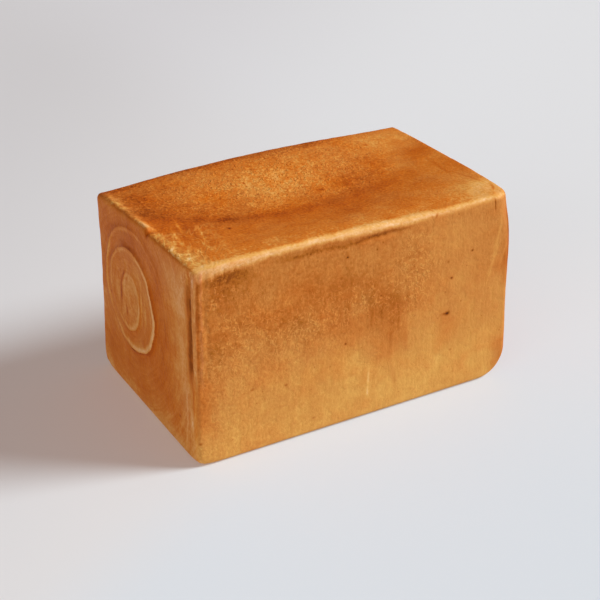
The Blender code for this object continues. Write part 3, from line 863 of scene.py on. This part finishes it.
def addFrontEdge(at):
    # the pale rounded edge along the front of the top, less browned crust with a painted sheen, broader at
    # the left, with painted shade below it, deepest in the crease under its middle
    form, look, bench, x = frontBand, crustLook, at.bench, at.x
    ragged = bench.noise(at.place, patchSizes["bandEdge"], 3.0) - 0.5
    at.over = over = at.fromFront - at.fromTop + 2.4 * ragged + 4.0 * at.grain
    near = ramp(9.0, 6.0, at.fromFront.low(at.fromTop))
    crease = form["crease"] - form["creaseRises"] * ramp(-12.0, 25.0, x)
    # painted shade in the crease under the middle of the band
    creaseShade = bell(over + crease, 1.1) * near * ramp(-60.0, -32.0, x) * ramp(42.0, 24.0, x)
    atCorner = ramp(-38.0, -85.0, x)
    drips = bench.noise(bench.join(x, at.y * 0.1, at.z * 0.15), patchSizes["drips"], 2.0) - 0.35
    atCorner = atCorner + 0.3 * ramp(-80.0, -95.0, x)
    thinner = ramp(25.0, 85.0, x)
    lowest = form["lowest"] - atCorner * (1.4 + 5.0 * drips) + 1.7 * thinner
    atCorner = atCorner.held()
    highest = form["highest"] + 2.2 * ramp(-35.0, 5.0, x) + 1.6 * atCorner - 2.4 * thinner
    # the band is less browned crust with a painted sheen
    band = ramp(lowest - 2.0, lowest + 1.6, over) * ramp(highest + 2.6, highest - 1.8, over)
    at.band = band = band * near * (at.top + at.front).held() * look["band"]
    # painted shade under the band: deep at its left end, and a lighter strip along the front below it
    shadeBelowBand = bell(x + 80.5, 9.0) * ramp(lowest - 7.0 + 3.0 * at.grain, lowest - 2.5, over)
    shadeBelowBand = shadeBelowBand * (1.0 - band) * at.front
    shade = ramp(lowest - 6.0, lowest - 1.5, over) * (1.0 - band) * at.front
    shade = shade * ramp(-72.0, -45.0, x) * ramp(34.0, 8.0, x)
    at.bake = at.bake + look["bandCrease"] * creaseShade + shadeBelowBand * (0.15 + 0.5 * at.streak) + 0.08 * shade
    paler = look["bandBake"] + 0.09 * atCorner + 0.05 * thinner + 0.4 * at.speck + 0.5 * at.grain
    at.bake = at.bake.toward(paler, band)
    at.edgeRosy = band * ramp(0.5, -2.0, over) * (0.40 + 0.20 * atCorner + 0.35 * thinner)


def addLeftCorner(at):
    # the fold on the left end, darkened with painted shade, the pale ridge at the upright corner, partly a
    # painted highlight, the crumbly place at its top and the wrinkles on the front beside it
    look, bench, x, y, z = crustLook, at.bench, at.x, at.y, at.z
    fromLeft, fromFront = at.fromLeft, at.fromFront
    at.high = high = upperCorner(z)
    wander = foldWander(bench, z)
    uneven = bench.noise(bench.join(x, y, z * 0.3), patchSizes["corner"], 2.0) - 0.5
    fold = fromFront - loafForm["foldFromCorner"] + wander * 2.6
    ragged = fold + 3.0 * uneven + 2.2 * at.speck
    broken = bench.noise(bench.join(0.0, y, z), 8.0, 1.0)
    # painted shade in the fold
    at.groove = bell(ragged - 0.7, 2.4) * at.leftEnd * ramp(-0.1, 0.6, broken) * ramp(113.5, 103.0, z)
    foot = bell(fold + 1.5, 1.0) * at.leftEnd * ramp(24.0, 36.0, z) * ramp(56.0, 46.0, z)
    # the pale ridge: paler crust and partly a painted highlight
    ridge = ramp(3.4, 1.8, fromFront) * ramp(2.8, 1.0, fromLeft + 2.0 * uneven)
    at.ridge = ridge * (at.leftEnd + at.front).held()
    strands = bench.noise(bench.join(x, y, z * 0.1), patchSizes["strands"], 2.0) - 0.5
    corner = ramp(9.0, 3.0, fromLeft) * at.front + ramp(7.0, 4.0, fromFront) * at.leftEnd
    at.second = bell(fromLeft - 4.5 + 6.0 * wander + 2.0 * uneven, 0.9) * at.front
    at.red = bell(fromLeft - 2.4 + 6.0 * wander, 1.1) * at.front
    at.chipped = bell(length2(fromFront - 4.0, at.fromTop - 7.0), 7.5) * at.leftEnd
    at.bake = at.bake + high * look["strands"] * strands * corner + look["foldFoot"] * foot
    at.bake = at.bake + at.chipped * (0.9 * uneven + 0.5 * at.speck)
    at.bake = (at.bake + look["fold"] * high * at.groove).low(look["foldDarkest"])
    ridgeBake = look["ridgeBake"] + 0.06 * at.front + 0.7 * uneven + 0.4 * at.speck
    at.bake = at.bake.toward(ridgeBake, look["ridge"] * high * at.ridge)
    at.bake = at.bake + high * (0.10 * at.red - ramp(-0.12, 0.1, uneven) * 0.04 * at.second)
    at.cornerStrands = strands * corner


def addTopMarks(at):
    # the bent strands on the top, pale and partly a painted highlight on the wrinkles, its golden left
    # rim, a painted shadow line on the left end under its edge, and the lip that ends in a notch, pale and
    # partly a painted highlight
    look, y, fromLeft, notchAt = crustLook, at.y, at.fromLeft, loafForm["notchAt"]
    onTop = ramp(0.6, 0.8, at.outZ)
    # the pale strands are partly a painted highlight on the wrinkles
    at.folds = topStrands(at.bench, at.place, at.x, y) * onTop
    rimWide = ramp(-8.0, -50.0, y).grown(4.5, 3.4)
    rim = bell(fromLeft - 3.2 + 9.0 * at.grain * ramp(-8.0, -30.0, y), rimWide)
    at.rim = rim * onTop * ramp(62.0, 44.0, abs(y + 4.0))
    # painted shadow: a thin dark line on the left end just under its top edge
    edge = bell(at.fromTop - 0.6, 1.4) * at.leftEnd * ramp(-8.0, -16.0, y) * ramp(-60.0, -50.0, y)
    lipShare = bell(y - notchAt - 7.5, 7.0)
    # the pale lip is partly a painted highlight
    at.lip = bell(fromLeft - 2.6, 2.5 + 4.0 * at.grain) * lipShare * onTop
    at.notch = bell(length3(fromLeft - 1.0, at.fromTop, (y - notchAt + 0.5) * 1.4), 3.4)
    strandBake, lipBake = look["topStrandBake"] + 0.3 * at.speck, look["lipBake"] + 0.3 * at.speck
    at.bake = at.bake.toward(strandBake, look["topStrands"] * at.folds)
    at.bake = at.bake + at.rim * (0.9 * at.middling - 0.2) + 0.08 * edge
    at.bake = at.bake.toward(lipBake, look["lip"] * at.lip) + look["notch"] * at.notch


def addMarks(at):
    # the pits and strokes that have places of their own
    at.bake = spotted(at.onFront, frontPits) * at.front + at.bake
    at.bake = spotted(at.place, topPits) * at.top + at.bake
    at.bake = spotted(at.onEnd, endPits) * at.leftEnd + at.bake
    at.bake = stroked(at.onFront, frontStrokes) * at.front + at.bake
    at.bake = stroked(at.place, topStrokes) * at.top + at.bake
    at.bake = stroked(at.onEnd, endStrokes) * at.leftEnd + at.bake


def crustColour(at):
    # the darkness, baked and painted, read off a gold, an amber and a rosy scale, and the three mixed
    bench, high, rim, walls = at.bench, at.high, at.rim, at.walls
    gold = bench.add("ShaderNodeValToRGB", {"stops": goldStops}, {0: at.bake})
    deep = bench.add("ShaderNodeValToRGB", {"stops": amberStops}, {0: at.bake})
    pinker = bench.add("ShaderNodeValToRGB", {"stops": rosyStops}, {0: at.bake})
    amber = at.amber + crustLook["hueSwing"] * at.hue * (1.0 - 0.6 * at.ends)
    amber = amber + 0.8 * at.notch + (0.5 * at.red - 0.8 * at.groove) * high
    amber = (amber - 0.5 * rim * ramp(0.75, 0.95, at.outZ) - 0.3 * at.folds).held()
    colour = bench.blend(amber * (1.0 - 0.6 * at.band), gold, deep)
    rosy = spotted(at.onEnd, endBakeAndShade["rosy"]) * at.leftEnd + at.edgeRosy
    rosy = rosy + (0.5 * at.ridge + 0.8 * at.second) * high + 0.4 * at.lip
    rosy = (rosy + 0.5 * at.hue * walls + 0.35 * at.chipped - at.groove * high).held()
    return bench.blend(rosy, colour, pinker)


def crustBump(at):
    flecky, walls, high = at.flecky, at.walls, at.high
    rough = at.speck * 0.7 + at.grain * 0.6 + at.middling * flecky.grown(1.2, 0.4)
    rough = rough + at.fleck * 0.5 - at.pore * 0.6
    rough = rough + (at.streak * walls + at.cornerStrands * high) * 0.6
    rough = rough + 0.2 * at.folds + 0.4 * at.crumb
    inputs = {"Height": rough, "Strength": crustLook["bump"], "Distance": crustLook["bumpDepth"]}
    return at.bench.add("ShaderNodeBump", {}, inputs)


def makeCrust():
    material = bpy.data.materials.new("bakedCrust")
    bench = emptyBench(material)
    at = CrustPoint(bench)
    for addLook in (addGrain, addFlecks, addDough, addFrontEdge, addLeftCorner, addTopMarks, addMarks):
        addLook(at)
    roughness = crustLook["roughness"] + crustLook["roughnessSwing"] * at.grain
    shader = bench.add("ShaderNodeBsdfPrincipled", {}, {
        "Base Color": crustColour(at), "Roughness": roughness,
        "Specular IOR Level": crustLook["gloss"], "Normal": crustBump(at)})
    bench.add("ShaderNodeOutputMaterial", {}, {"Surface": shader})
    print("crust material:", bench.count, "nodes")
    return material


def makeLoaf(crust):
    values = dict(loafForm)
    values["crust"] = crust
    loafPiece = bakedFrom(buildLoafTree(), "loafCrust", values)
    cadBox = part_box("loaf")
    places = [point.co.x for point in loafPiece.data.vertices]
    shift = (cadBox[0][0] + cadBox[1][0]) / 2.0 - (min(places) + max(places)) / 2.0
    for point in loafPiece.data.vertices:
        point.co.x += shift
    print("loaf made:", len(places), "points, moved", round(shift / mm, 3), "mm")
    return loafPiece


loafPiece = makeLoaf(makeCrust())
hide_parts("loaf")
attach(loafPiece, "root")

studio = {
    # the floor's colour, with a painted shade that darkens it behind the loaf
    "floorSize": 8.0, "floorColour": (0.535, 0.60, 0.62, 1.0), "floorShadedBehind": (0.43, 0.475, 0.495, 1.0),
    "floorRoughness": 0.9, "floorGloss": 0.2,
    # painted light: the floor gives off light of its own, so that the shadow stays soft and warm
    "floorGlow": (0.225, 0.152, 0.132, 1.0), "glowDimmedBehind": (0.185, 0.125, 0.108, 1.0),
    "glowFront": (0.175, 0.152, 0.172, 1.0), "glowRight": (0.225, 0.168, 0.160, 1.0),
    # each change of the floor's painted shade and glow: a direction over it, and where along that it
    # starts and ends
    "behind": ((-0.7, 0.7, 0.0), -0.03, 0.4), "inFront": ((0.5, -0.85, 0.0), -0.02, 0.05),
    "toRight": ((1.0, 0.0, 0.0), 0.04, 0.24),
    "skyStrength": 0.22, "skyColour": (1.0, 0.92, 0.86, 1.0),
}
lamps = {
    # direction towards the lamp, strength, angle of its disc in degrees, colour
    "keyLamp": ((0.739, -0.329, 0.588), 3.75, 22.0, (0.98, 1.0, 1.03)),
    "fillLamp": ((-0.84, -0.50, 0.15), 1.0, 50.0, (1.08, 0.97, 0.94)),
}
cameraSet = {
    "azimuth": 29.718, "elevation": 28.326, "distance": 0.786119, "target": (-0.01401, -0.01872, 0.05808),
    "lens": 83.635, "sensor": 36.0, "clip": (0.05, 50.0),
}


def acrossFloor(place, change):
    direction, start, end = change
    return ramp(start, end, place.dot(direction))


def makePaleFloor():
    material = bpy.data.materials.new("paleFloor")
    bench = emptyBench(material)
    place = bench.add("ShaderNodeTexCoord", output="Object")
    # painted shade and light: the floor darkens behind the loaf, its glow dims there, and the glow changes
    # in front and to the right
    behind = acrossFloor(place, studio["behind"])
    colour = bench.blend(behind, studio["floorColour"], studio["floorShadedBehind"])
    glow = bench.blend(behind, studio["floorGlow"], studio["glowDimmedBehind"])
    glow = bench.blend(acrossFloor(place, studio["inFront"]), glow, studio["glowFront"])
    glow = bench.blend(acrossFloor(place, studio["toRight"]), glow, studio["glowRight"])
    shader = bench.add("ShaderNodeBsdfPrincipled", {}, {
        "Base Color": colour, "Roughness": studio["floorRoughness"],
        "Specular IOR Level": studio["floorGloss"],
        "Emission Color": glow, "Emission Strength": 1.0})
    bench.add("ShaderNodeOutputMaterial", {}, {"Surface": shader})
    return material


def makeFloor():
    half = studio["floorSize"] / 2.0
    corners = [(-half, -half, 0.0), (half, -half, 0.0), (half, half, 0.0), (-half, half, 0.0)]
    mesh = bpy.data.meshes.new("floor")
    mesh.from_pydata(corners, [], [(0, 1, 2, 3)])
    mesh.materials.append(makePaleFloor())
    floor = placed("floor", mesh)


def aimed(holder, direction, axis):
    # turns one of its axes along a direction
    holder.rotation_mode = "QUATERNION"
    holder.rotation_quaternion = direction.to_track_quat(axis, "Y")


def makeLights():
    world = bpy.data.worlds.new("studio")
    bench = emptyBench(world)
    sky = bench.add("ShaderNodeBackground", {}, {0: studio["skyColour"], 1: studio["skyStrength"]})
    bench.add("ShaderNodeOutputWorld", {}, {"Surface": sky})
    bpy.context.scene.world = world
    for name, (towards, strength, angle, colour) in lamps.items():
        lamp = bpy.data.lights.new(name, "SUN")
        lamp.color = colour
        lamp.energy = strength
        lamp.angle = math.radians(angle)
        aimed(placed(name, lamp), Vector(towards), "Z")


def makeCamera():
    azimuth, elevation = math.radians(cameraSet["azimuth"]), math.radians(cameraSet["elevation"])
    level = math.cos(elevation)
    looking = Vector((math.sin(azimuth) * level, math.cos(azimuth) * level, -math.sin(elevation)))
    camera = bpy.data.cameras.new("camera")
    camera.lens = cameraSet["lens"]
    camera.sensor_width = cameraSet["sensor"]
    camera.clip_start, camera.clip_end = cameraSet["clip"]
    holder = placed("camera", camera)
    holder.location = Vector(cameraSet["target"]) - looking * cameraSet["distance"]
    aimed(holder, looking, "-Z")
    bpy.context.scene.camera = holder


makeFloor()
makeLights()
makeCamera()
bpy.context.scene.view_settings.view_transform = "Standard"
print("floor, lights and camera made")
